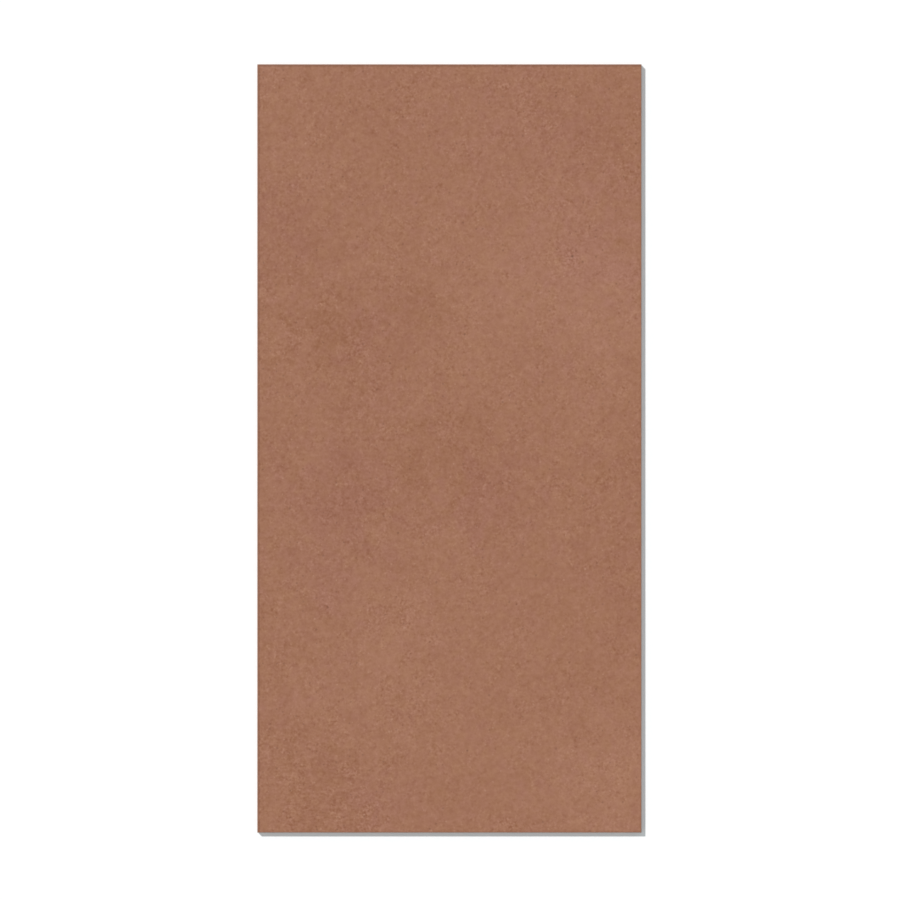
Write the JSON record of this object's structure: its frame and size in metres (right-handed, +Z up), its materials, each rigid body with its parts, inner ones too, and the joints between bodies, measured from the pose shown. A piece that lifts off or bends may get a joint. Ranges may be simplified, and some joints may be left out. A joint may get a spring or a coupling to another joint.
{
  "type": "ceramic tile",
  "caption": "Matt terracotta-brown ceramic tile, an oblong slab with a softly clouded face, ground square sides, a fine bevel round the face and a ribbed bonding key on its back.",
  "frame": {"origin": "middle of the back, on the plane of the rib crests that the tile lies on", "axes": "+X across the width, to the picture's right; +Y along the length, to the picture's top; +Z up out of the face"},
  "size_m": [0.3, 0.6, 0.009],
  "materials": {
    "fired_clay": "matte"
  },
  "bodies": {
    "root": {"tile": "fired_clay"}
  },
  "joints": []
}
